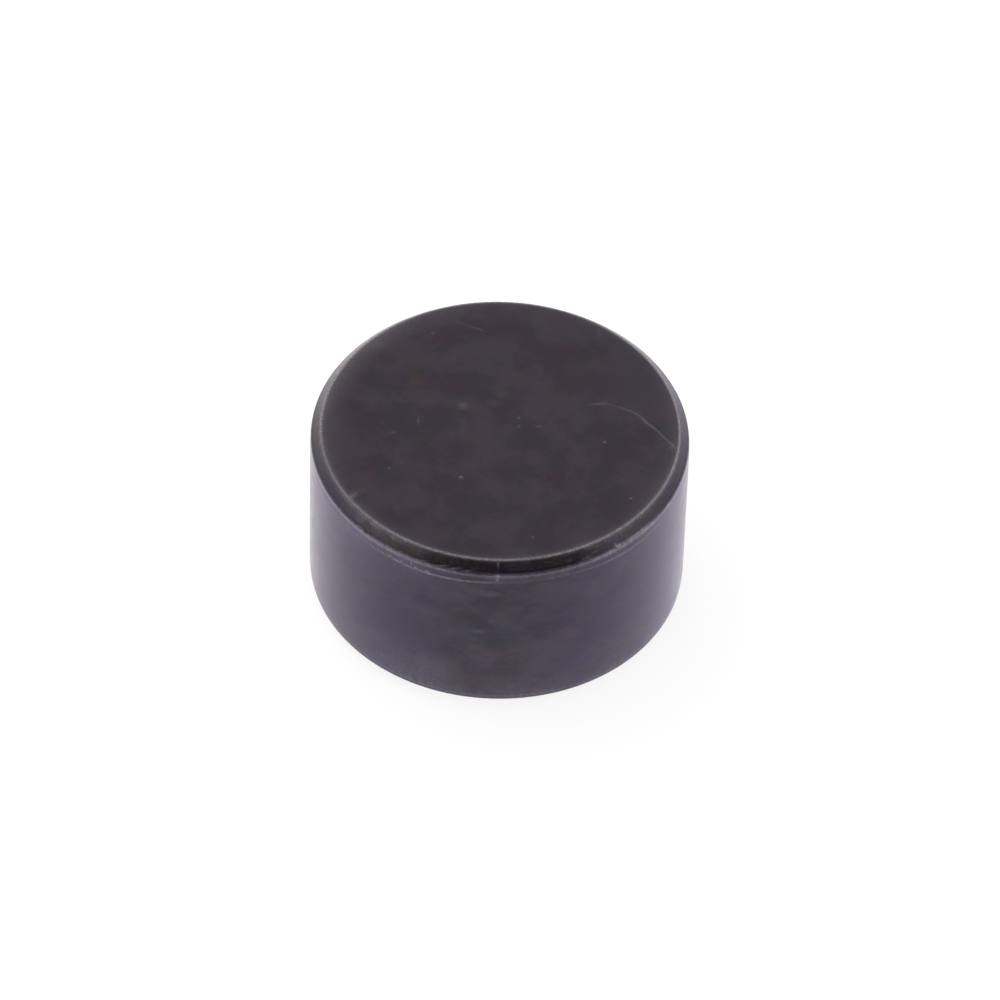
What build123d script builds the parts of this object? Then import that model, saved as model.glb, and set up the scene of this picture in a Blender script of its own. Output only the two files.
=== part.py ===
from build123d import *
import os

# Valve shim: one hardened steel slug, turned and ground all over, the same at both ends.
# Sizes are in millimetres. +Z runs along the axis, and the origin is the centre of the lower face.

# Ground outside wall, and the lapped faces that set the valve clearance
outside_diameter = 7.48
thickness = 4.00

# Chamfer round each face, close to 45 degrees
chamfer_width = 0.19
chamfer_height = 0.20

# Shallow lead-in between the chamfer and the full diameter, so that the shim drops into its seat
lead_in_height = 0.25
lead_in_inset = 0.008

# Worn edges: the face's rim, and the shoulder between the chamfer and the lead-in
rim_radius = 0.06
shoulder_radius = 0.14


def edge_line():
    """Corners of the upper edge, from the face's rim down to the full diameter, as radius and height."""
    wall = outside_diameter / 2
    shoulder = wall - lead_in_inset
    rim = shoulder - chamfer_width
    shoulder_height = thickness - chamfer_height
    return [
        (rim, thickness),
        (shoulder, shoulder_height),
        (wall, shoulder_height - lead_in_height),
    ]


def half_section():
    """The section on one side of the axis, with the worn edges rounded."""
    upper = edge_line()
    lower = [(radius, thickness - height) for radius, height in reversed(upper)]
    outline = Polyline((0, thickness), *upper, *lower, (0, 0), close=True)
    section = make_face(outline)

    rim, shoulder, _ = upper
    section = rounded(section, [rim, lower[-1]], rim_radius)
    return rounded(section, [shoulder, lower[-2]], shoulder_radius)


def rounded(section, corners, radius):
    """The section with the corners at these places rounded."""
    chosen = [section.vertices().sort_by_distance(corner)[0] for corner in corners]
    return fillet(chosen, radius)


def valve_shim():
    """The half section turned about the axis."""
    upright = Plane.XZ * half_section()
    return revolve(upright, axis=Axis.Z)


os.makedirs("parts", exist_ok=True)
shim = valve_shim()
shim.label = "valve_shim"
export_step(shim, "parts/valve_shim.step")
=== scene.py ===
import math
import random

import bpy
import numpy as np
from mathutils import Matrix, Vector
from mathutils.geometry import delaunay_2d_cdt


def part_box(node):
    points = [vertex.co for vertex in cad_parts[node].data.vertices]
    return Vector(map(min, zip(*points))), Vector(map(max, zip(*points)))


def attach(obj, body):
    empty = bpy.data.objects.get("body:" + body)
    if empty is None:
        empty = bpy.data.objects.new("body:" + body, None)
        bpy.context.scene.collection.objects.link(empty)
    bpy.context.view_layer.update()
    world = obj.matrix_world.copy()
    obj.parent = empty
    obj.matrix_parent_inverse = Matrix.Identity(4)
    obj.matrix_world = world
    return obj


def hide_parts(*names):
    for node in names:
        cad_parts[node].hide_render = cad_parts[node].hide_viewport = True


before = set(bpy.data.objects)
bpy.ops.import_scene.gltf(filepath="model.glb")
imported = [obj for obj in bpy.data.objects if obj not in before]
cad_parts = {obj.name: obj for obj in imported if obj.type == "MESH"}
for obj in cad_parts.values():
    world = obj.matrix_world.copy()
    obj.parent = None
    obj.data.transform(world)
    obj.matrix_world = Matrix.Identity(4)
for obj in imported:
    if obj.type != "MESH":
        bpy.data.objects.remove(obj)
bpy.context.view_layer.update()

# Lengths of the shim are in millimetres here, and MM turns them into the frame's metres.
# An azimuth is in degrees, from the front (-Y) and growing towards +X.
MM = 0.001
_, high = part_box("valve_shim")
WALL = high[0] / MM
THICKNESS = high[2] / MM

# The edge of each end, as in the solid
CHAMFER_WIDTH = 0.19
CHAMFER_HEIGHT = 0.20
LEAD_IN_HEIGHT = 0.25
LEAD_IN_INSET = 0.008
RIM_RADIUS = 0.06
SHOULDER_RADIUS = 0.14
SHOULDER = WALL - LEAD_IN_INSET
RIM = SHOULDER - CHAMFER_WIDTH
SHOULDER_HEIGHT = THICKNESS - CHAMFER_HEIGHT
WALL_HEIGHT = SHOULDER_HEIGHT - LEAD_IN_HEIGHT

# Steps round the shim
STEPS = 1200
AZIMUTH = np.arange(STEPS) * (360 / STEPS)
TURN = np.radians(AZIMUTH)


def wander(seed, fewest, most):
    """A smooth closed wave round the shim, -1 to 1, with this few to this many swings."""
    rng = random.Random(seed)
    total = np.zeros(STEPS)
    for swings in range(fewest, most + 1):
        total += rng.uniform(0.5, 1) * np.sin(swings * TURN + rng.uniform(0, 2 * math.pi))
    return total / np.abs(total).max()


def by_azimuth(*stops):
    """A value at each step, in straight runs between stops of (azimuth, value)."""
    azimuths = [azimuth for azimuth, _ in stops]
    values = [value for _, value in stops]
    return np.interp(AZIMUTH, azimuths, values, period=360)


def degrees_from(azimuth):
    """How far each step is from this azimuth, from -180 to 180."""
    return (AZIMUTH - azimuth + 180) % 360 - 180


class Row:
    """A ring of points round the shim, with a radius, a height, wear and tint at each step."""

    def __init__(self, radius, height, wear=0.0, tint=0.0):
        self.radius = np.zeros(STEPS) + radius
        self.height = np.zeros(STEPS) + height
        self.wear = np.zeros(STEPS) + wear
        self.tint = np.zeros(STEPS) + tint


def rows_between(first, last, count, tint=0.0):
    """Rows spaced evenly between two, without wear."""
    rows = []
    for k in range(1, count + 1):
        share = k / (count + 1)
        radius = first.radius + (last.radius - first.radius) * share
        height = first.height + (last.height - first.height) * share
        rows.append(Row(radius, height, tint=tint))
    return rows


def rounded_corner(start, corner, end, radius, wear, shares, shift=0.0):
    """Rows round a corner of the section, each with its share of the wear, moved up by a shift in rows."""
    start, corner, end = (np.array(place, float) for place in (start, corner, end))
    arriving = (corner - start) / np.linalg.norm(corner - start)
    leaving = (end - corner) / np.linalg.norm(end - corner)
    turn = math.acos(float(arriving @ leaving))
    reach = radius * math.tan(turn / 2)
    outward = np.array([-arriving[1], arriving[0]])
    centre = corner[:, None] - np.outer(arriving, reach) - np.outer(outward, radius)
    rows = []
    last = len(shares) - 1
    for k in range(len(shares)):
        share = np.interp(k + shift, range(len(shares)), shares)
        angle = turn * k / last
        way = outward * math.cos(angle) + arriving * math.sin(angle)
        places = centre + np.outer(way, radius)
        rows.append(Row(places[0], places[1], wear * share))
    return rows


# The worn edges and wall, with painted sheen at the wall's sides and painted reflection on the far upper
# chamfer

# Share of the wear on each row across a rounded edge
ACROSS_RIM = (0.75, 0.95, 1.0, 1.0, 1.0, 0.8, 0.5)
ACROSS_SHOULDER = (0.0, 0.0, 0.0, 0.0, 0.03, 0.12, 0.3, 0.55, 0.85)

# Below the shoulder's rounding: drop, share of the shoulder's wear
BELOW_SHOULDER = ((0.018, 1.0), (0.036, 0.9), (0.055, 0.45), (0.08, 0.1))

# At the wall's upper end: rise, share of the wall edge's wear, share of the lead-in's wear. The wall's
# own values (its wear, the painted sheen at its sides, and at the lower end its lightening) make up the rest
# of the last.
ACROSS_WALL_EDGE = ((0.03, 0.1, 1.0), (0.005, 1.0, 0.7), (-0.018, 1.0, 0.4), (-0.045, 0.1, 0.0))

# How far the rim's wear reaches down the chamfer
RIM_SPREAD = 0.035

# The wall is rubbed thin near its upper end and is lighter near its lower end: how much, and over what height
# from each end
UPPER_RUB = by_azimuth((-75, 0.02), (-45, 0.08), (-20, 0.04), (0, 0.0), (20, 0.0), (40, 0.02), (180, 0.03))
LOWER_LIGHTENING = by_azimuth((-75, 0.02), (-40, 0.08), (-22, 0.13), (-8, 0.05), (0, 0.07), (20, 0.05), (180, 0.05))
UPPER_REACH = 0.5
LOWER_REACH = 0.75
LOWER_FALL_OFF = 1.5

# Painted sheen: the wall's wear rises from none at the front to most at its left and right sides, with a
# little at the back, so the sides read lighter
SIDE_SHEEN = by_azimuth((-80, 0.03), (-64, 0.04), (-48, 0.02), (-32, 0.015), (0, 0.0), (32, 0.02), (48, 0.022),
                      (64, 0.06), (80, 0.045), (180, 0.02))


class End:
    """How one end of the shim is worn, at each step, with painted sheen in the wall's values and painted
    reflection in the upper chamfer's wear at the far side.

    The lift moves the shoulder's wear up the chamfer, in rows, and the edge shift moves the wear line
    at the wall's upper end, in millimetres. Each value but the wall's wavers round the shim, by the
    number in front of its wander.
    """

    def __init__(self, seed, rim_radius, rim, rim_spread, chamfer, shoulder, lift, lead_in, wall_edge,
                 edge_shift, wall):
        self.rim = rim * (1 + 0.25 * wander(seed, 30, 260))
        self.rim_spread = rim_spread * (1 + 0.5 * wander(seed + 7, 20, 120))
        self.chamfer = chamfer * (1 + 0.3 * wander(seed + 8, 40, 280))
        self.chips = lift + 2.6 * wander(seed + 10, 20, 200) * (0.6 + 0.6 * wander(seed + 11, 5, 30))
        self.shoulder = shoulder * (1 + 0.5 * wander(seed + 1, 16, 260))
        self.lead_in = lead_in * (1 + 0.3 * wander(seed + 9, 10, 120))
        self.wall_edge = wall_edge * (1 + 0.6 * wander(seed + 2, 14, 200))
        self.edge_shift = edge_shift + 0.006 * wander(seed + 12, 10, 90)
        self.wall = wall
        self.rim_radius = rim_radius + 0.008 * wander(seed + 3, 6, 50) + 0.006 * wander(seed + 4, 60, 220)
        unevenness = 0.012 * wander(seed + 5, 8, 60) + 0.024 * wander(seed + 6, 30, 220)
        self.shoulder_radius = SHOULDER_RADIUS + unevenness


UPPER_END = End(
    seed=20,
    rim_radius=by_azimuth((70, RIM_RADIUS), (90, 0.037), (120, 0.037), (140, RIM_RADIUS)),
    rim=by_azimuth((-150, 0.5), (-105, 0.6), (-90, 0.48), (-75, 0.31), (-45, 0.33), (-30, 0.38), (-15, 0.32),
                   (15, 0.31), (30, 0.4), (60, 0.4), (90, 0.55), (120, 0.6), (150, 0.4)),
    rim_spread=by_azimuth((-90, 0.15), (-60, 0.2), (-45, 0.3), (-35, 0.22), (-15, 0.04), (20, 0.04),
                          (45, 0.22), (75, 0.12), (180, 0.1)),
    # The chamfer's wear is partly real and, towards the back, partly painted reflection that makes the far
    # chamfer lighter
    chamfer=by_azimuth((-150, 0.8), (-130, 0.55), (-110, 0.3), (-90, 0.09), (-65, 0.02), (-50, 0.04),
                       (-40, 0.035), (-30, 0.01), (-15, 0.0), (0, 0.0), (10, 0.012), (30, 0.012), (40, 0.045),
                       (65, 0.02), (90, 0.1), (110, 0.18), (130, 0.26), (150, 0.42)),
    shoulder=by_azimuth((-68, 0.28), (-60, 0.25), (-47, 0.3), (-30, 0.27), (-15, 0.22), (-5, 0.13), (4, 0.16),
                        (9, 0.14), (17, 0.1), (23, 0.14), (30, 0.24), (40, 0.33), (50, 0.4), (60, 0.3),
                        (180, 0.25)),
    lift=by_azimuth((-75, 0.0), (-60, 0.2), (-50, 0.9), (-33, 2.8), (-22, 1.4), (-12, -1.4), (3, -1.0),
                    (20, 0.4), (37, 1.8), (55, 1.8), (75, 0.0)),
    lead_in=by_azimuth((-75, 0.07), (-60, 0.09), (-45, 0.14), (-30, 0.1), (-15, 0.02), (-5, 0.02), (4, 0.055),
                       (20, 0.065), (45, 0.04), (60, 0.12), (180, 0.04)),
    wall_edge=by_azimuth((-60, 0.03), (-45, 0.13), (-33, 0.27), (-12, 0.27), (-5, 0.2), (2, 0.06), (20, 0.09),
                         (30, 0.12), (37, 0.2), (51, 0.22), (65, 0.08), (180, 0.1)),
    edge_shift=by_azimuth((-45, 0.0), (-34, 0.005), (-26, -0.03), (-12, -0.01), (0, 0.02), (23, 0.025),
                          (32, -0.015), (50, -0.025), (65, 0.0)),
    wall=UPPER_RUB + SIDE_SHEEN,
)
LOWER_END = End(
    seed=40,
    rim_radius=RIM_RADIUS,
    rim=by_azimuth((0, 0.35), (90, 0.45), (180, 0.4), (270, 0.3)),
    rim_spread=by_azimuth((0, 0.05), (90, 0.1), (180, 0.08)),
    chamfer=by_azimuth((0, 0.02), (180, 0.03)),
    shoulder=by_azimuth((-60, 0.13), (60, 0.13), (120, 0.3), (240, 0.3)),
    lift=0.0,
    lead_in=by_azimuth((-75, 0.05), (-40, 0.1), (-22, 0.14), (-8, 0.07), (20, 0.07), (50, 0.09), (180, 0.06)),
    wall_edge=by_azimuth((-70, 0.0), (70, 0.0), (180, 0.1)),
    edge_shift=0.0,
    wall=LOWER_LIGHTENING + SIDE_SHEEN,
)

# The oxide's tint: brown above 0, blue below. The wall's is partly painted sheen, bluer and lighter at the
# sides left and right of the front, and partly the oxide's own tint, bluest at the right
CHAMFER_TINT = 0.6 * wander(60, 8, 70) + by_azimuth(
    (-160, 0.8), (-120, 0.8), (-95, 0.3), (-80, -0.1), (-60, -0.3), (-45, 0.0), (-35, 0.3), (-10, 0.3),
    (5, 0.0), (45, -0.2), (65, -0.8), (80, -1.1), (130, -1.1), (155, -0.3))
WALL_TINT_AND_SHEEN = by_azimuth(
    (-80, 0.0), (-64, -0.5), (-45, -0.55), (-30, -0.6), (-10, -0.2), (10, -0.2), (30, -0.55), (50, -0.6),
    (66, -1.2), (80, -0.8), (180, -0.2))


def on_lead_in(height, wear):
    """A row on the lead-in or the top of the wall."""
    rise = np.maximum(0.0, height - WALL_HEIGHT)
    return Row(WALL - LEAD_IN_INSET * rise / LEAD_IN_HEIGHT, height, wear)


def end_rows(end, across_chamfer):
    """Rows from the upper face's edge out and down to the wall."""
    face = (0, THICKNESS)
    rim = (RIM, THICKNESS)
    shoulder = (SHOULDER, SHOULDER_HEIGHT)
    wall = (WALL, WALL_HEIGHT)
    at_rim = rounded_corner(face, rim, shoulder, end.rim_radius, end.rim, ACROSS_RIM)
    at_shoulder = rounded_corner(
        rim, shoulder, wall, end.shoulder_radius, end.shoulder, ACROSS_SHOULDER, end.chips)

    chamfer = rows_between(at_rim[-1], at_shoulder[0], across_chamfer, CHAMFER_TINT)
    for row in chamfer:
        below_rim = np.hypot(row.radius - at_rim[-1].radius, row.height - at_rim[-1].height)
        row.wear = end.chamfer + end.rim_spread * np.exp(-below_rim / RIM_SPREAD)

    bottom = at_shoulder[-1].height
    under = [on_lead_in(bottom - drop, end.lead_in + end.shoulder * share) for drop, share in BELOW_SHOULDER]
    at_wall = []
    for rise, edge_share, lead_in_share in ACROSS_WALL_EDGE:
        plain = end.lead_in * lead_in_share + end.wall * (1 - lead_in_share)
        wear = np.maximum(end.wall_edge * edge_share, plain)
        at_wall.append(on_lead_in(WALL_HEIGHT + end.edge_shift + rise, wear))
    lead_in = rows_between(under[-1], at_wall[0], 1)
    lead_in[0].wear = end.lead_in
    return at_rim + chamfer + at_shoulder + under + lead_in + at_wall


def mirrored(rows):
    """The same rows at the lower end, from the wall to the face's edge."""
    return [Row(row.radius, THICKNESS - row.height, row.wear, row.tint) for row in reversed(rows)]


def wall_wear_and_sheen(height):
    """Wear of the wall at a height, apart from its marks, with painted sheen at its sides and lighter towards
    its lower end.
    """
    below_top = (WALL_HEIGHT - height) / UPPER_REACH
    above_bottom = (height - (THICKNESS - WALL_HEIGHT)) / LOWER_REACH
    upper = UPPER_RUB * math.exp(-max(below_top, 0))
    lower = LOWER_LIGHTENING * math.exp(-max(above_bottom, 0) ** LOWER_FALL_OFF)
    return SIDE_SHEEN + (upper + lower)


# Rows between the two wall edges, and how far below the wall's end the first is
WALL_ROWS = 20
WALL_ROWS_INSET = 0.12


def wall_rows():
    """Rows down the ground wall, with plain wear, painted sheen at its sides, and lighter towards its lower
    end.
    """
    top = WALL_HEIGHT - WALL_ROWS_INSET
    return [Row(WALL, height, wall_wear_and_sheen(height)) for height in np.linspace(top, THICKNESS - top, WALL_ROWS)]


# Marks

# Marks near the upper edge: azimuth, height, half angle, half height, rise per degree, wear, depth
OUTSIDE_MARKS = [
    (0.6, 3.965, 0.22, 0.06, 0.0, 0.30, 0.003),
    (0.6, 3.745, 0.9, 0.025, 0.0, 0.46, 0.0),
    (9.3, 3.72, 0.5, 0.02, 0.0, 0.32, 0.0),
    (0.5, 3.66, 0.38, 0.08, 0.0, 0.30, 0.003),
    (1.6, 3.565, 0.9, 0.014, 0.0, 0.16, 0.0),
    (-8.9, 3.545, 0.6, 0.02, 0.0, 0.30, 0.0),
    (-26.3, 3.64, 0.35, 0.06, 0.0, 0.38, 0.006),
    (-24.8, 3.55, 0.6, 0.03, 0.0, 0.42, 0.005),
    (-33.6, 3.66, 0.45, 0.04, 0.0, 0.26, 0.006),
    (39.6, 3.785, 1.3, 0.04, 0.0, 0.50, 0.004),
    (38.5, 3.83, 0.45, 0.035, 0.0, 0.42, 0.0),
    (36.7, 3.73, 1.3, 0.03, 0.014, 0.55, 0.004),
    (36.5, 3.77, 0.7, 0.03, 0.0, 0.45, 0.003),
    (46.5, 3.785, 8.5, 0.036, 0.0, 0.45, 0.002),
    (38.3, 3.535, 0.5, 0.018, 0.0, 0.34, 0.0),
    (48.0, 3.525, 2.2, 0.018, 0.0, 0.32, 0.0),
    (-33.3, 3.575, 0.7, 0.025, 0.0, 0.36, 0.002),
    (-29.6, 3.56, 0.6, 0.025, 0.0, 0.36, 0.002),
    (-21.0, 3.55, 0.8, 0.025, 0.0, 0.36, 0.002),
    (-42.8, 3.955, 1.0, 0.02, 0.0, 0.30, 0.0),
    (-34.0, 3.94, 0.6, 0.03, 0.0, 0.18, 0.0),
    (-29.8, 3.98, 0.8, 0.015, 0.0, 0.35, 0.0),
    (-16.8, 3.805, 1.7, 0.012, 0.013, 0.24, 0.002),
    (-12.6, 3.81, 1.6, 0.012, 0.013, 0.28, 0.002),
    (-8.6, 3.805, 1.2, 0.010, 0.012, 0.24, 0.002),
    (-23.0, 3.80, 1.6, 0.012, 0.011, 0.18, 0.002),
    (-46.5, 3.80, 1.6, 0.012, 0.011, 0.20, 0.002),
    (35.4, 3.985, 2.0, 0.012, 0.0, 0.22, 0.0),
    (29.8, 3.946, 1.4, 0.010, 0.0, 0.16, 0.0),
    (28.4, 3.83, 1.5, 0.025, 0.0, 0.12, 0.0),
    (31.5, 3.87, 1.2, 0.012, 0.0, 0.12, 0.0),
    (23.0, 3.87, 1.6, 0.014, 0.0, 0.08, 0.0),
    (33.0, 3.93, 1.6, 0.012, 0.0, 0.14, 0.0),
    (24.0, 3.965, 1.3, 0.012, 0.0, 0.12, 0.0),
    (-69.0, 3.665, 2.6, 0.018, -0.006, 0.42, 0.004),
    (-64.0, 3.69, 2.2, 0.016, -0.006, 0.36, 0.004),
    (-61.5, 3.64, 1.8, 0.014, -0.006, 0.28, 0.003),
]


def mark_outside(rows):
    """Wear and cut the outside marks into these rows."""
    roughly = 1 + 0.4 * wander(90, 60, 300)
    for azimuth, height, half_angle, half_height, slope, wear, depth in OUTSIDE_MARKS:
        along = degrees_from(azimuth)
        for row in rows:
            above = (row.height - height - slope * along) / half_height
            near = np.exp(-((along / half_angle) ** 2) - above**2)
            row.wear = np.maximum(row.wear, wear * near * roughly)
            row.radius -= depth * near


# Scratches on the upper face, as points of x, y, half width and wear: a long one that runs out
# to the rim at the right, and a short one at the back
SCRATCHES = [
    [
        (1.70, 0.74, 0.026, 0.02),
        (1.91, 0.77, 0.030, 0.09),
        (2.08, 0.79, 0.026, 0.07),
        (2.23, 0.75, 0.022, 0.02),
        (2.38, 0.68, 0.024, 0.08),
        (2.55, 0.61, 0.026, 0.09),
        (2.75, 0.47, 0.026, 0.10),
        (2.87, 0.30, 0.024, 0.16),
        (3.07, 0.11, 0.020, 0.15),
        (3.29, -0.18, 0.020, 0.10),
        (3.43, -0.35, 0.032, 0.12),
    ],
    [
        (-0.85, 2.92, 0.018, 0.03),
        (-0.62, 2.81, 0.018, 0.05),
        (-0.42, 2.73, 0.024, 0.10),
    ],
]
SCRATCH_DEPTH = 0.003

# Places for the mesh beside a scratch: their spacing along it, and how far out, in half widths
SCRATCH_SPACING = 0.03
ACROSS_SCRATCH = (-2, -1.2, -0.6, 0, 0.6, 1.2, 2)

# Specks on the upper face: x, y, half width along x, half width along y, wear
SPECKS = [
    (-0.75, 0.61, 0.09, 0.09, 0.09),
    (2.06, -0.28, 0.020, 0.022, 0.30),
    (2.59, -1.78, 0.034, 0.014, 0.30),
    (0.69, -2.90, 0.015, 0.016, 0.28),
    (-0.74, -1.35, 0.036, 0.034, 0.22),
    (-2.15, -1.16, 0.018, 0.018, 0.20),
    (-1.62, 0.15, 0.022, 0.07, 0.09),
    (-2.10, -0.18, 0.05, 0.035, 0.06),
    (0.36, 0.32, 0.035, 0.035, 0.10),
    (0.37, 0.09, 0.03, 0.04, 0.07),
    (0.75, 0.10, 0.07, 0.016, 0.09),
    (-1.41, 2.60, 0.03, 0.03, 0.08),
    (0.02, 0.95, 0.12, 0.10, 0.02),
    (1.91, 2.76, 0.06, 0.12, 0.04),
    (-2.49, 2.19, 0.22, 0.12, 0.03),
    (3.40, -0.33, 0.05, 0.09, 0.06),
]
SPECK_DEPTH = 0.002

# A speck with this much wear or more has its full depth
FULL_DEPTH_WEAR = 0.1

# Places for the mesh round a speck: rings of them, and how far out the last is, in half widths
SPECK_RINGS = 5
SPECK_REACH = 2

# A smear runs in from the rim at the front left: its two ends, half width and wear
SMEAR_FROM = (-2.93, -2.03)
SMEAR_TO = (-2.77, -1.86)
SMEAR_HALF_WIDTH = 0.055
SMEAR_WEAR = 0.13

# Patches of tint on the upper face: x, y, half width, tint
FACE_TINTS = [
    (-1.71, 1.25, 0.13, 1.6),
    (2.76, 1.40, 0.7, -0.8),
    (1.57, 1.63, 0.45, 0.4),
    (2.7, -2.0, 0.5, -0.4),
    (-2.49, 2.1, 0.4, 0.3),
    (1.91, 2.76, 0.3, -0.8),
    (-0.1, 1.9, 0.25, -0.25),
]

# Wear of the upper face beside its rim: right at it, over a wider strip, and far in
HALO_CLOSE = by_azimuth((-170, 0.1), (-135, 0.18), (-105, 0.18), (-80, 0.22), (70, 0.2), (88, 0.0),
                        (110, 0.0), (150, 0.06))
HALO_CLOSE_REACH = 0.03
HALO_WIDE = by_azimuth((-160, 0.06), (-135, 0.12), (-100, 0.12), (-85, 0.13), (-45, 0.14), (-30, 0.07),
                       (0, 0.04), (15, 0.1), (30, 0.13), (45, 0.09), (60, 0.12), (75, 0.12), (90, 0.06),
                       (115, 0.11), (140, 0.13), (165, 0.06))
HALO_WIDE_REACH = 0.05
HALO_FAR = by_azimuth((-170, 0.03), (-140, 0.095), (-105, 0.105), (-85, 0.045), (-60, 0.0), (-45, 0.02),
                      (-20, 0.0), (30, 0.01), (50, 0.02), (75, 0.05), (90, 0.065), (105, 0.035), (125, 0.012),
                      (150, 0.015))
HALO_FAR_REACH = 0.3

# Steps inwards from the rim, of the rings of points on a face, with the places in each ring
FACE_RINGS = ((0.015, STEPS), (0.04, STEPS // 2), (0.08, STEPS // 2), (0.14, STEPS // 4), (0.24, STEPS // 8))
FACE_SPACING = 0.13

# Scratches stop this far inside the face's edge
EDGE_MARGIN = 0.02


def face_points(edge_radius, marked):
    """Places inside a face: rings that thin out inwards, a plain field, and close ones at the marks."""
    points = []
    for inset, count in FACE_RINGS:
        for k in range(count):
            angle = 2 * math.pi * (k + 0.5) / count
            radius = edge_radius - inset
            points.append((radius * math.sin(angle), -radius * math.cos(angle)))
    reach = edge_radius - FACE_RINGS[-1][0] - FACE_SPACING
    across = int(reach / FACE_SPACING) + 1
    for i in range(-across, across + 1):
        for j in range(-across, across + 1):
            x = (i + 0.5 * (j % 2)) * FACE_SPACING
            y = j * FACE_SPACING * math.sqrt(0.75)
            if math.hypot(x, y) < reach:
                points.append((x, y))
    if marked:
        points += [place for path in SCRATCHES for place in scratch_points(path, edge_radius)]
        points += [place for speck in SPECKS for place in speck_points(speck)]
    return points


def scratch_points(path, edge_radius):
    """Places along a scratch and beside it."""
    points = []
    for start, end in zip(path, path[1:]):
        along = Vector(end[:2]) - Vector(start[:2])
        aside = Vector((-along.y, along.x)).normalized()
        count = math.ceil(along.length / SCRATCH_SPACING)
        for k in range(count):
            centre = Vector(start[:2]) + along * (k / count)
            for out in ACROSS_SCRATCH:
                place = centre + aside * (out * start[2])
                if place.length < edge_radius - EDGE_MARGIN:
                    points.append(tuple(place))
    return points


def speck_points(speck):
    """Places inside a speck and round it."""
    x, y, half_x, half_y, _ = speck
    points = [(x, y)]
    for ring in range(1, SPECK_RINGS + 1):
        out = SPECK_REACH * ring / SPECK_RINGS
        count = 4 * ring
        for k in range(count):
            angle = 2 * math.pi * k / count
            points.append((x + out * half_x * math.cos(angle), y + out * half_y * math.sin(angle)))
    return points


def rim_halo(x, y):
    """Wear of a face next to its rim."""
    inset = RIM - math.hypot(x, y)
    step = round(math.degrees(math.atan2(x, -y)) / 360 * STEPS) % STEPS
    wide = HALO_WIDE[step] * math.exp(-inset / HALO_WIDE_REACH)
    far = HALO_FAR[step] * math.exp(-((inset / HALO_FAR_REACH) ** 2))
    return HALO_CLOSE[step] * math.exp(-inset / HALO_CLOSE_REACH) + wide + far


def beside(start, end, x, y):
    """(share of the way along, distance away) of a place, from a straight stretch."""
    begin = Vector(start[:2])
    along = Vector(end[:2]) - begin
    out = Vector((x, y)) - begin
    share = min(max(out.dot(along) / along.length_squared, 0), 1)
    return share, (out - along * share).length


def scratch_cut(path, x, y):
    """(share of the depth, wear) that a scratch gives a place."""
    best_share = 0.0
    best_wear = 0.0
    for start, end in zip(path, path[1:]):
        share, away = beside(start, end, x, y)
        half_width = start[2] + (end[2] - start[2]) * share
        wear = start[3] + (end[3] - start[3]) * share
        near = math.exp(-((away / half_width) ** 2))
        if near * wear > best_wear:
            best_share = near
            best_wear = near * wear
    return best_share, best_wear


def smear_wear(x, y):
    """Wear that the smear by the rim gives a place."""
    _, away = beside(SMEAR_FROM, SMEAR_TO, x, y)
    return SMEAR_WEAR * math.exp(-((away / SMEAR_HALF_WIDTH) ** 2))


def upper_face_mark(x, y):
    """(depth, wear, tint) at a place on the upper face."""
    depth = 0.0
    wear = smear_wear(x, y)
    for path in SCRATCHES:
        share, scratched = scratch_cut(path, x, y)
        depth = max(depth, SCRATCH_DEPTH * share)
        wear = max(wear, scratched)
    for speck_x, speck_y, half_x, half_y, speck_wear in SPECKS:
        near = math.exp(-(((x - speck_x) / half_x) ** 2 + ((y - speck_y) / half_y) ** 2))
        wear = max(wear, speck_wear * near)
        depth = max(depth, SPECK_DEPTH * near * min(speck_wear / FULL_DEPTH_WEAR, 1))
    tint = 0.0
    for patch_x, patch_y, half, strength in FACE_TINTS:
        tint += strength * math.exp(-(((x - patch_x) ** 2 + (y - patch_y) ** 2) / half**2))
    return depth, wear + rim_halo(x, y), tint


# The mesh

FACE_SLOT = 0
CHAMFER_SLOT = 1
WALL_SLOT = 2

UPPER_CHAMFER_ROWS = 8
LOWER_CHAMFER_ROWS = 3

# For the triangles of a face: keep those inside the ring, and merge places closer than this
INSIDE_ONLY = 1
SAME_PLACE = 1e-7


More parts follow.
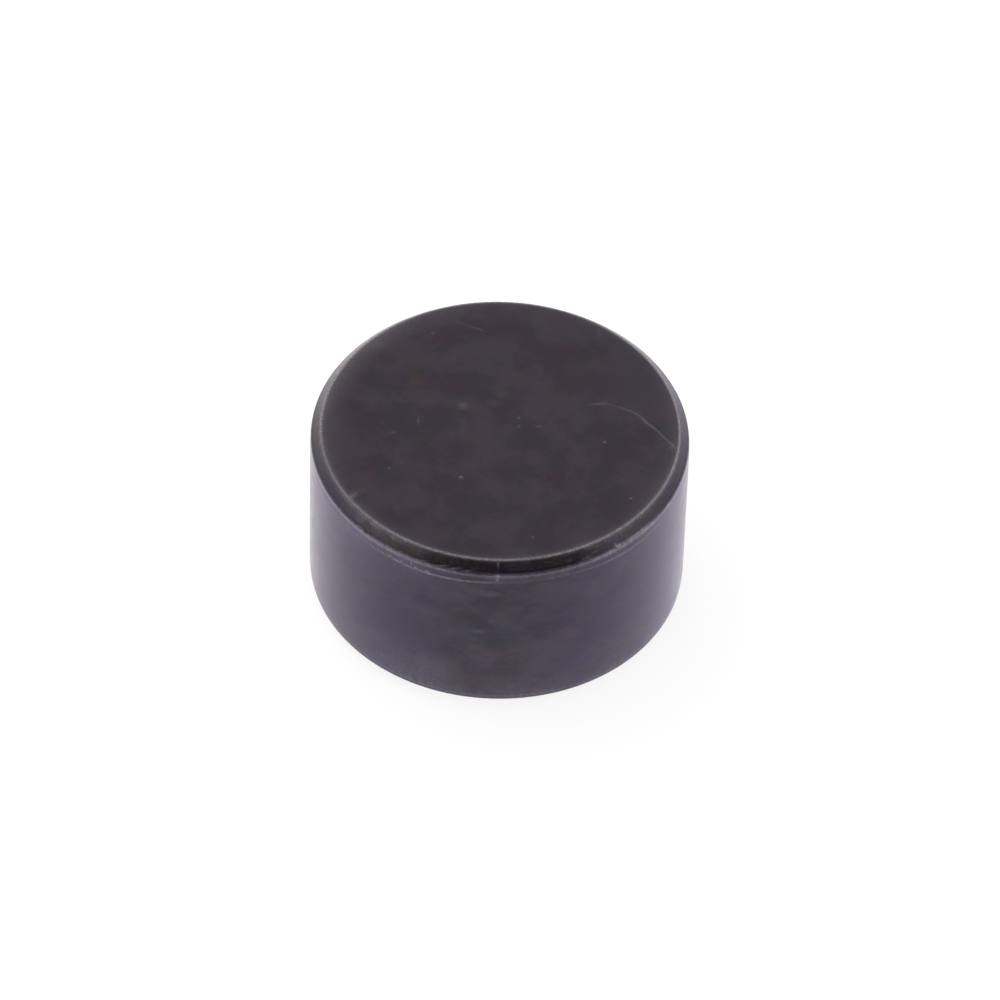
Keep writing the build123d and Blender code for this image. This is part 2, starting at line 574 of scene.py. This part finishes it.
class Skin:
    """Vertices with their wear and tint, and faces with their material slots, as the shim is put together."""

    def __init__(self):
        self.verts = []
        self.wear = []
        self.tint = []
        self.faces = []
        self.slots = []

    def add_vertex(self, place, wear=0.0, tint=0.0):
        self.verts.append(place)
        self.wear.append(wear)
        self.tint.append(tint)
        return len(self.verts) - 1

    def add_rows(self, rows, slots):
        """Quads between each row and the next, with one material slot for each such band."""
        for row in rows:
            x = row.radius * np.sin(TURN)
            y = -row.radius * np.cos(TURN)
            for k in range(STEPS):
                self.add_vertex((x[k], y[k], row.height[k]), row.wear[k], row.tint[k])
        for band, slot in enumerate(slots):
            above = band * STEPS
            below = above + STEPS
            for k in range(STEPS):
                after = (k + 1) % STEPS
                self.faces.append((above + k, below + k, below + after, above + after))
                self.slots.append(slot)

    def add_face(self, first, level, up):
        """Triangles inside the ring that starts at this vertex."""
        ring = [self.verts[first + k][:2] for k in range(STEPS)]
        edge_radius = min(math.hypot(x, y) for x, y in ring)
        places = [Vector(place) for place in ring + face_points(edge_radius, up)]
        edges = [(k, (k + 1) % STEPS) for k in range(STEPS)]
        places, _, triangles, origins, _, _ = delaunay_2d_cdt(places, edges, [], INSIDE_ONLY, SAME_PLACE)
        index = []
        for (x, y), origin in zip(places, origins):
            if origin and origin[0] < STEPS:
                index.append(first + origin[0])
            elif up:
                depth, wear, tint = upper_face_mark(x, y)
                index.append(self.add_vertex((x, y, level - depth), wear, tint))
            else:
                index.append(self.add_vertex((x, y, level), rim_halo(x, y)))
        for triangle in triangles:
            corners = [index[k] for k in triangle]
            self.faces.append(tuple(corners if up else reversed(corners)))
            self.slots.append(FACE_SLOT)

    def mesh(self, name):
        mesh = bpy.data.meshes.new(name)
        mesh.from_pydata([(x * MM, y * MM, z * MM) for x, y, z in self.verts], [], self.faces)
        # The wear attribute also holds painted sheen at the wall's sides and painted reflection on the far
        # upper chamfer; the tint attribute, painted sheen at the wall's sides
        mesh.attributes.new("wear", "FLOAT", "POINT").data.foreach_set("value", self.wear)
        mesh.attributes.new("tint", "FLOAT", "POINT").data.foreach_set("value", self.tint)
        mesh.polygons.foreach_set("material_index", self.slots)
        mesh.polygons.foreach_set("use_smooth", [True] * len(self.faces))
        mesh.update()
        return mesh


def shim_mesh():
    """The whole shim as one closed mesh."""
    upper = end_rows(UPPER_END, UPPER_CHAMFER_ROWS)
    lower = mirrored(end_rows(LOWER_END, LOWER_CHAMFER_ROWS)[::2])
    rows = upper + wall_rows() + lower
    mark_outside(upper)

    # The chamfer's material reaches to the middle of the shoulder's rounding
    to_middle = len(ACROSS_RIM) + len(ACROSS_SHOULDER) // 2
    upper_turned = to_middle + UPPER_CHAMFER_ROWS
    lower_turned = (to_middle + LOWER_CHAMFER_ROWS) // 2
    bands = len(rows) - 1
    # The wall's rows take the wall's tint, with its painted sheen at the sides
    for row in rows[upper_turned + 1:bands - lower_turned]:
        row.tint = WALL_TINT_AND_SHEEN
    slots = [CHAMFER_SLOT] * upper_turned
    slots += [WALL_SLOT] * (bands - upper_turned - lower_turned)
    slots += [CHAMFER_SLOT] * lower_turned

    skin = Skin()
    skin.add_rows(rows, slots)
    skin.add_face(0, THICKNESS, True)
    skin.add_face((len(rows) - 1) * STEPS, 0.0, False)
    return skin.mesh("shim_body")


# Materials

# Nearly all of a noise lies in this range
NOISE_LOW = 0.3
NOISE_HIGH = 0.7


class Tree:
    """Short calls that add nodes to one material."""

    def __init__(self, name):
        self.material = bpy.data.materials.new(name)
        self.material.use_nodes = True
        self.nodes = self.material.node_tree.nodes
        self.links = self.material.node_tree.links
        self.shader = self.nodes["Principled BSDF"]
        coordinates = self.nodes.new("ShaderNodeTexCoord").outputs["Object"]
        self.place = self.vector("SCALE", coordinates, scale=1 / MM)

    def join(self, value, socket):
        """A link from an output, or a fixed value."""
        if isinstance(value, bpy.types.NodeSocket):
            self.links.new(value, socket)
        else:
            socket.default_value = value

    def vector(self, operation, a, b=None, scale=None):
        node = self.nodes.new("ShaderNodeVectorMath")
        node.operation = operation
        self.join(a, node.inputs[0])
        if b is not None:
            self.join(b, node.inputs[1])
        if scale is not None:
            node.inputs["Scale"].default_value = scale
        return node.outputs["Vector"]

    def length(self, a):
        node = self.nodes.new("ShaderNodeVectorMath")
        node.operation = "LENGTH"
        self.join(a, node.inputs[0])
        return node.outputs["Value"]

    def maths(self, operation, a, b=None, clamp=False):
        node = self.nodes.new("ShaderNodeMath")
        node.operation = operation
        node.use_clamp = clamp
        self.join(a, node.inputs[0])
        if b is not None:
            self.join(b, node.inputs[1])
        return node.outputs[0]

    def turned(self, degrees):
        """The place turned about the shim's axis."""
        node = self.nodes.new("ShaderNodeVectorRotate")
        node.rotation_type = "Z_AXIS"
        node.inputs["Angle"].default_value = math.radians(degrees)
        self.join(self.place, node.inputs["Vector"])
        return node.outputs["Vector"]

    def warped(self, place, scale, amount):
        """A place moved about by smooth noise, so that lines through it bend."""
        node = self.nodes.new("ShaderNodeTexNoise")
        self.join(place, node.inputs["Vector"])
        node.inputs["Scale"].default_value = scale
        offset = self.vector("SUBTRACT", node.outputs["Color"], (0.5, 0.5, 0.5))
        return self.vector("ADD", place, self.vector("SCALE", offset, scale=amount))

    def noise(self, scale, stretch=(1, 1, 1), detail=3.0, roughness=0.55, place=None):
        """Noise from 0 to 1 with features about 1 / scale millimetres wide."""
        node = self.nodes.new("ShaderNodeTexNoise")
        self.join(self.vector("MULTIPLY", place or self.place, stretch), node.inputs["Vector"])
        node.inputs["Scale"].default_value = scale
        node.inputs["Detail"].default_value = detail
        node.inputs["Roughness"].default_value = roughness
        return node.outputs["Fac"]

    def spread(self, value, low, high, to_low=0.0, to_high=1.0):
        """A value moved smoothly from one range into another."""
        node = self.nodes.new("ShaderNodeMapRange")
        node.interpolation_type = "SMOOTHSTEP"
        self.join(value, node.inputs["Value"])
        node.inputs["From Min"].default_value = low
        node.inputs["From Max"].default_value = high
        node.inputs["To Min"].default_value = to_low
        node.inputs["To Max"].default_value = to_high
        return node.outputs["Result"]

    def mottle(self, scale, to_low, to_high, stretch=(1, 1, 1), detail=3.0):
        """Noise spread between two values."""
        return self.spread(self.noise(scale, stretch, detail), NOISE_LOW, NOISE_HIGH, to_low, to_high)

    def mix(self, share, a, b):
        node = self.nodes.new("ShaderNodeMix")
        node.data_type = "RGBA"
        self.join(share, node.inputs["Factor"])
        self.join(a, node.inputs["A"])
        self.join(b, node.inputs["B"])
        return node.outputs["Result"]

    def attribute(self, name):
        node = self.nodes.new("ShaderNodeAttribute")
        node.attribute_name = name
        return node.outputs["Fac"]

    def bump(self, height, distance):
        node = self.nodes.new("ShaderNodeBump")
        node.inputs["Distance"].default_value = distance * MM
        self.join(height, node.inputs["Height"])
        return node.outputs["Normal"]


# Colours of worn steel, the first in two tones, and of the oxide on it
BARE_STEEL = ((0.44, 0.395, 0.42, 1), (0.40, 0.40, 0.43, 1))
PLAIN_STEEL = (0.42, 0.415, 0.405, 1)
BLUE_STEEL = (0.41, 0.395, 0.50, 1)
BROWN_OXIDE = (0.015, 0.0095, 0.004, 1)
BLUE_OXIDE = (0.006, 0.006, 0.016, 1)
# Deep blue oxide, which on the wall is also the painted sheen at its sides
DEEP_BLUE_OXIDE_AND_SHEEN = (0.011, 0.006, 0.032, 1)
MUTED_BLUE_OXIDE = (0.009, 0.007, 0.021, 1)
BRIGHT_BLUE_OXIDE = (0.014, 0.010, 0.055, 1)
BLACK_OXIDE = (0.0005, 0.0003, 0.0008, 1)
VIOLET_OXIDE = (0.009, 0.004, 0.024, 1)
PINK_OXIDE = (0.028, 0.013, 0.021, 1)
GREEN_OXIDE = (0.003, 0.010, 0.009, 1)
OLIVE_OXIDE = (0.010, 0.009, 0.002, 1)
PALE_OXIDE = (0.045, 0.042, 0.047, 1)

# Patches in the wall's oxide: azimuth, height, half width, half height, strength, colour
WALL_PATCHES = [
    (12, 2.85, 1.20, 0.60, 0.35, BLACK_OXIDE),
    (-2, 1.95, 0.60, 0.35, 0.6, GREEN_OXIDE),
    (-9, 0.85, 0.35, 0.45, 0.5, BLACK_OXIDE),
    (-19, 0.95, 0.30, 0.25, 0.6, PALE_OXIDE),
    (-31, 1.60, 0.90, 0.60, 0.7, VIOLET_OXIDE),
    (-52, 1.60, 0.60, 0.70, 0.5, PINK_OXIDE),
    (-18.3, 3.17, 0.20, 0.16, 1.0, PINK_OXIDE),
    (-44.4, 1.18, 0.08, 0.06, 1.0, BLACK_OXIDE),
    (34.8, 1.16, 0.10, 0.07, 1.0, BLACK_OXIDE),
    (23.4, 2.20, 0.07, 0.05, 1.0, BLACK_OXIDE),
    (8.2, 1.56, 0.08, 0.07, 1.0, PINK_OXIDE),
    (-2.9, 3.245, 0.30, 0.09, 0.9, PALE_OXIDE),
    (6.0, 2.82, 0.16, 0.10, 0.45, PALE_OXIDE),
    (-4.6, 2.14, 0.15, 0.06, 0.7, PALE_OXIDE),
    (-1.0, 2.45, 0.07, 0.09, 0.7, PALE_OXIDE),
    (50.0, 0.62, 0.5, 0.12, 0.6, BLACK_OXIDE),
    (70.0, 2.00, 1.3, 2.50, 0.6, BRIGHT_BLUE_OXIDE),
]

# Patches in the upper chamfer's oxide, in the same order of values
CHAMFER_PATCHES = [
    (-53, 3.92, 0.40, 0.10, 0.45, PALE_OXIDE),
    (-55, 3.87, 0.45, 0.12, 0.8, MUTED_BLUE_OXIDE),
    (-47, 3.90, 0.16, 0.05, 0.8, PALE_OXIDE),
    (-43, 3.88, 0.20, 0.07, 1.0, BLACK_OXIDE),
    (-39.5, 3.93, 0.14, 0.04, 0.9, PALE_OXIDE),
    (-39, 3.85, 0.20, 0.07, 0.8, PINK_OXIDE),
    (-36, 3.93, 0.14, 0.05, 1.0, BLACK_OXIDE),
    (-33, 3.87, 0.20, 0.09, 0.7, OLIVE_OXIDE),
    (-29, 3.85, 0.14, 0.06, 0.9, BLACK_OXIDE),
    (-32, 3.94, 0.20, 0.03, 0.7, PALE_OXIDE),
    (-26, 3.91, 0.24, 0.07, 0.7, OLIVE_OXIDE),
    (-24, 3.93, 0.16, 0.03, 0.6, PALE_OXIDE),
    (-20, 3.85, 0.30, 0.12, 0.6, BLACK_OXIDE),
    (-66, 3.80, 0.60, 0.16, 0.8, VIOLET_OXIDE),
    (-83, 3.84, 0.35, 0.14, 0.5, OLIVE_OXIDE),
    (20, 3.88, 0.25, 0.12, 0.7, OLIVE_OXIDE),
    (28, 3.92, 0.35, 0.10, 0.5, BLACK_OXIDE),
    (37, 3.88, 0.30, 0.10, 0.6, VIOLET_OXIDE),
    (42, 3.94, 0.20, 0.10, 0.9, OLIVE_OXIDE),
    (52, 3.90, 0.25, 0.10, 0.6, GREEN_OXIDE),
    (75, 3.88, 0.60, 0.30, 0.5, MUTED_BLUE_OXIDE),
    (95, 3.90, 0.80, 0.40, 0.7, BRIGHT_BLUE_OXIDE),
    (120, 3.90, 1.00, 0.40, 0.8, BRIGHT_BLUE_OXIDE),
]


def patched(tree, tone, patches, radius, ragged_scale):
    """The tone with soft ragged patches in it, at this distance from the axis."""
    ragged = tree.mottle(ragged_scale, -0.4, 0.4, detail=5)
    for azimuth, height, half_width, half_height, strength, colour in patches:
        away = tree.vector("SUBTRACT", tree.turned(-azimuth), (0, -radius, height))
        away = tree.vector("MULTIPLY", away, (1 / half_width, 1 / half_width, 1 / half_height))
        away = tree.maths("ADD", tree.length(away), ragged)
        tone = tree.mix(tree.spread(away, 0.1, 1.5, strength, 0.0), tone, colour)
    return tone


def oxide(name, tones, blue, stretch=(1, 1, 1), extra_wear=None, patches=(), radius=WALL,
          ragged_scale=2.4):
    """A material of mottled dark oxide, in two dark tones and two lighter ones, that wears to bare steel."""
    tree = Tree(name)
    hue = tree.spread(tree.noise(1.9, stretch, detail=5), 0.38, 0.62)
    second_hue = tree.spread(tree.noise(1.5, stretch, detail=5, place=tree.turned(-64)), 0.38, 0.62)
    light = tree.spread(tree.noise(1.2, stretch, detail=6, roughness=0.62, place=tree.turned(37)), 0.36, 0.64)
    tone = tree.mix(light, tree.mix(hue, tones[0], tones[1]), tree.mix(second_hue, tones[2], tones[3]))
    tone = patched(tree, tone, patches, radius, ragged_scale)
    uneven = tree.mottle(2.7, 0.4, 1.6, stretch, detail=4)
    # The tint attribute holds the oxide's tint and, on the wall, painted sheen at its sides
    tint = tree.maths("MULTIPLY", tree.attribute("tint"), uneven)
    warm = tree.maths("MULTIPLY", tint, 1.0, clamp=True)
    cold = tree.maths("MULTIPLY", tint, -1.0, clamp=True)
    tone = tree.mix(cold, tree.mix(warm, tone, BROWN_OXIDE), blue)

    grain = tree.mottle(22, 0.75, 1.25)
    # The wear attribute holds wear, and also painted sheen at the wall's sides and painted reflection on the
    # far upper chamfer
    worn = tree.maths("MULTIPLY", tree.attribute("wear"), grain, clamp=True)
    if extra_wear:
        worn = tree.maths("ADD", worn, extra_wear(tree), clamp=True)
    steel = tree.mix(cold, tree.mix(warm, tree.mix(second_hue, *BARE_STEEL), PLAIN_STEEL), BLUE_STEEL)
    tree.join(tree.mix(worn, tone, steel), tree.shader.inputs["Base Color"])
    tree.join(worn, tree.shader.inputs["Metallic"])
    return tree


SHEEN_ROUGHNESS = 0.5


def finish(tree, ior, specular_tint, sheen, sheen_tint):
    """The values of a shader that are the same all over."""
    inputs = tree.shader.inputs
    inputs["IOR"].default_value = ior
    inputs["Specular Tint"].default_value = specular_tint
    inputs["Sheen Weight"].default_value = sheen
    inputs["Sheen Roughness"].default_value = SHEEN_ROUGHNESS
    inputs["Sheen Tint"].default_value = sheen_tint
    return tree.material


def hairlines(tree):
    """Thin wear of short fine scratches, each a little bent, in four directions."""
    total = None
    for degrees in (12, 58, 101, 149):
        place = tree.warped(tree.turned(degrees), 1.6, 0.35)
        lines = tree.noise(1.0, stretch=(26, 3.4, 1), detail=2, place=place)
        lines = tree.spread(lines, 0.64, 0.80, 0.0, 0.032)
        total = lines if total is None else tree.maths("MAXIMUM", total, lines)
    return total


def face_material():
    tones = (
        (0.0003, 0.0045, 0.0030, 1),
        (0.0070, 0.0010, 0.0045, 1),
        (0.0155, 0.0120, 0.0135, 1),
        (0.0145, 0.0130, 0.0180, 1),
    )
    tree = oxide("lapped_face", tones, BLUE_OXIDE, extra_wear=hairlines)
    tree.join(tree.mottle(6, 0.29, 0.36, detail=5), tree.shader.inputs["Roughness"])
    tree.join(tree.bump(tree.noise(26, detail=3), 0.0006), tree.shader.inputs["Normal"])
    return finish(tree, 1.465, (0.92, 0.74, 0.94, 1), 0.0, (1, 1, 1, 1))


def chamfer_material():
    tones = (
        (0.0035, 0.0010, 0.0050, 1),
        (0.0080, 0.0030, 0.0090, 1),
        (0.0130, 0.0085, 0.0120, 1),
        (0.0110, 0.0090, 0.0160, 1),
    )
    tree = oxide("turned_chamfer", tones, MUTED_BLUE_OXIDE, (2, 2, 6), turned_streaks, CHAMFER_PATCHES,
                 radius=(RIM + SHOULDER) / 2, ragged_scale=9)
    tree.join(tree.mottle(8, 0.26, 0.34, detail=4), tree.shader.inputs["Roughness"])
    lines = tree.noise(1.0, stretch=(1.2, 1.2, 60), detail=3)
    tree.join(tree.bump(lines, 0.001), tree.shader.inputs["Normal"])
    return finish(tree, 1.5, (0.98, 0.86, 0.96, 1), 0.0, (1, 1, 1, 1))


def turned_streaks(tree):
    """Short faint wear along the turning lines of the chamfer."""
    lines = tree.noise(1.0, stretch=(3.5, 3.5, 34), detail=3)
    return tree.spread(lines, 0.56, 0.76, 0.0, 0.04)


def ground_streaks(tree):
    """Faint wear round the wall: thin grinding lines and broad soft dashes."""
    lines = tree.spread(tree.noise(1.0, stretch=(0.9, 0.9, 22), detail=3), 0.56, 0.76, 0.0, 0.012)
    dashes = tree.spread(tree.noise(1.0, stretch=(2.2, 2.2, 9), detail=3), 0.58, 0.78, 0.0, 0.02)
    return tree.maths("ADD", lines, dashes)


def wall_material():
    tones = (
        (0.0003, 0.0022, 0.0003, 1),
        (0.0050, 0.0004, 0.0120, 1),
        (0.0330, 0.0240, 0.0290, 1),
        (0.0230, 0.0250, 0.0400, 1),
    )
    tree = oxide("ground_wall", tones, DEEP_BLUE_OXIDE_AND_SHEEN, (1, 1, 1.5), ground_streaks, WALL_PATCHES)
    tree.join(tree.mottle(3, 0.16, 0.23, detail=5), tree.shader.inputs["Roughness"])
    lines = tree.noise(1.0, stretch=(0.6, 0.6, 26), detail=4)
    tree.join(tree.bump(lines, 0.0008), tree.shader.inputs["Normal"])
    return finish(tree, 1.355, (0.97, 0.86, 0.98, 1), 0.25, (0.75, 0.6, 1.0, 1))


# The shim

def placed(name, data):
    """A new object in the scene."""
    thing = bpy.data.objects.new(name, data)
    bpy.context.scene.collection.objects.link(thing)
    return thing


shim = placed("shim_body", shim_mesh())
for material in (face_material(), chamfer_material(), wall_material()):
    shim.data.materials.append(material)
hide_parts("valve_shim")
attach(shim, "root")

# The studio

# The floor's size and drop below the shim, in metres, then its tone and glow and the world's light
FLOOR_SIZE = 3.0
FLOOR_ALBEDO = 0.2
FLOOR_GLOW = 0.85
FLOOR_DROP = 0.00002
WORLD_LIGHT = 0.75


def studio_world():
    """Soft white all round, at full white where the camera, gloss or glass sees it."""
    world = bpy.data.worlds.new("studio")
    world.use_nodes = True
    nodes = world.node_tree.nodes
    links = world.node_tree.links
    path = nodes.new("ShaderNodeLightPath")
    seen = path.outputs["Is Camera Ray"]
    for name in ("Is Glossy Ray", "Is Transmission Ray"):
        either = nodes.new("ShaderNodeMath")
        either.operation = "MAXIMUM"
        links.new(seen, either.inputs[0])
        links.new(path.outputs[name], either.inputs[1])
        seen = either.outputs[0]
    strength = nodes.new("ShaderNodeMapRange")
    strength.inputs["To Min"].default_value = WORLD_LIGHT
    strength.inputs["To Max"].default_value = 1.0
    links.new(seen, strength.inputs["Value"])
    background = nodes["Background"]
    background.inputs["Color"].default_value = (1, 1, 1, 1)
    links.new(strength.outputs["Result"], background.inputs["Strength"])
    bpy.context.scene.world = world


def studio_floor():
    """A white floor that keeps the shim's shadow, is plain white in gloss, and is clear from below."""
    half = FLOOR_SIZE / 2
    corners = [(x, y, -FLOOR_DROP) for x, y in ((-half, -half), (half, -half), (half, half), (-half, half))]
    mesh = bpy.data.meshes.new("floor")
    mesh.from_pydata(corners, [], [(0, 1, 2, 3)])
    floor = placed("floor", mesh)
    material = bpy.data.materials.new("floor_white")
    material.use_nodes = True
    nodes = material.node_tree.nodes
    links = material.node_tree.links
    nodes.clear()
    diffuse = nodes.new("ShaderNodeBsdfDiffuse")
    diffuse.inputs["Color"].default_value = (FLOOR_ALBEDO, FLOOR_ALBEDO, FLOOR_ALBEDO, 1)
    glow = nodes.new("ShaderNodeEmission")
    glow.inputs["Strength"].default_value = FLOOR_GLOW
    lit = nodes.new("ShaderNodeAddShader")
    links.new(diffuse.outputs[0], lit.inputs[0])
    links.new(glow.outputs[0], lit.inputs[1])
    white = nodes.new("ShaderNodeEmission")
    path = nodes.new("ShaderNodeLightPath")
    choice = nodes.new("ShaderNodeMixShader")
    links.new(path.outputs["Is Glossy Ray"], choice.inputs[0])
    links.new(lit.outputs[0], choice.inputs[1])
    links.new(white.outputs[0], choice.inputs[2])
    clear = nodes.new("ShaderNodeBsdfTransparent")
    side = nodes.new("ShaderNodeNewGeometry")
    one_sided = nodes.new("ShaderNodeMixShader")
    links.new(side.outputs["Backfacing"], one_sided.inputs[0])
    links.new(choice.outputs[0], one_sided.inputs[1])
    links.new(clear.outputs[0], one_sided.inputs[2])
    output = nodes.new("ShaderNodeOutputMaterial")
    links.new(one_sided.outputs[0], output.inputs["Surface"])
    mesh.materials.append(material)


# A dark card on the camera's side, seen only by gloss: it darkens what faces it.
# Its distance from the shim is in metres, and its turn, reach and rise are in degrees.
CARD_DISTANCE = 0.4
CARD_TURN = 7.0
CARD_HALF_ANGLE = 48.0
CARD_LOWEST = 2.0
CARD_HIGHEST = 58.0
CARD_TONE = 0.02
CARD_COLUMNS = 24
CARD_ROWS = 12


def dark_card():
    verts = []
    faces = []
    for j in range(CARD_ROWS + 1):
        rise = math.radians(CARD_LOWEST + (CARD_HIGHEST - CARD_LOWEST) * j / CARD_ROWS)
        for i in range(CARD_COLUMNS + 1):
            turn = math.radians(CARD_TURN + CARD_HALF_ANGLE * (2 * i / CARD_COLUMNS - 1))
            verts.append((
                CARD_DISTANCE * math.cos(rise) * math.sin(turn),
                -CARD_DISTANCE * math.cos(rise) * math.cos(turn),
                CARD_DISTANCE * math.sin(rise),
            ))
    row = CARD_COLUMNS + 1
    for j in range(CARD_ROWS):
        for i in range(CARD_COLUMNS):
            first = j * row + i
            faces.append((first, first + 1, first + row + 1, first + row))
    mesh = bpy.data.meshes.new("dark_card")
    mesh.from_pydata(verts, [], faces)
    card = placed("dark_card", mesh)
    material = bpy.data.materials.new("card_black")
    material.use_nodes = True
    shader = material.node_tree.nodes["Principled BSDF"]
    shader.inputs["Base Color"].default_value = (CARD_TONE, CARD_TONE, CARD_TONE, 1)
    mesh.materials.append(material)
    card.visible_camera = False
    card.visible_diffuse = False
    card.visible_transmission = False
    card.visible_shadow = False


# A soft lamp that gloss doesn't see: place and size in metres, power in watts
LAMP_PLACE = (-0.12, 0.12, 0.3)
LAMP_SIZE = 0.25
LAMP_POWER = 0.4


def soft_lamp():
    data = bpy.data.lights.new("soft_lamp", "AREA")
    data.shape = "DISK"
    data.size = LAMP_SIZE
    data.energy = LAMP_POWER
    lamp = placed("soft_lamp", data)
    lamp.location = LAMP_PLACE
    lamp.rotation_euler = (-Vector(LAMP_PLACE)).to_track_quat("-Z", "Y").to_euler()
    lamp.visible_glossy = False


# The camera: angles in degrees, distances in metres, lens and target in millimetres
CAMERA_ELEVATION = 46.38
CAMERA_ROLL = -1.71
CAMERA_DISTANCE = 0.1504
CAMERA_CLIP_START = 0.01
CAMERA_LENS = 272.6
CAMERA_TARGET = (0.037, -0.083, 2.055)


def studio_camera():
    data = bpy.data.cameras.new("camera")
    data.lens = CAMERA_LENS
    data.clip_start = CAMERA_CLIP_START
    camera = placed("camera", data)
    rise = math.radians(CAMERA_ELEVATION)
    back = Vector((0, -math.cos(rise), math.sin(rise)))
    right = Vector((1, 0, 0))
    up = back.cross(right)
    roll = Matrix.Rotation(math.radians(-CAMERA_ROLL), 3, "Z")
    axes = Matrix((right, up, back)).transposed() @ roll
    place = Vector(CAMERA_TARGET) * MM + back * CAMERA_DISTANCE
    camera.matrix_world = Matrix.Translation(place) @ axes.to_4x4()
    bpy.context.scene.camera = camera


studio_world()
studio_floor()
dark_card()
soft_lamp()
studio_camera()
bpy.context.scene.view_settings.view_transform = "Standard"
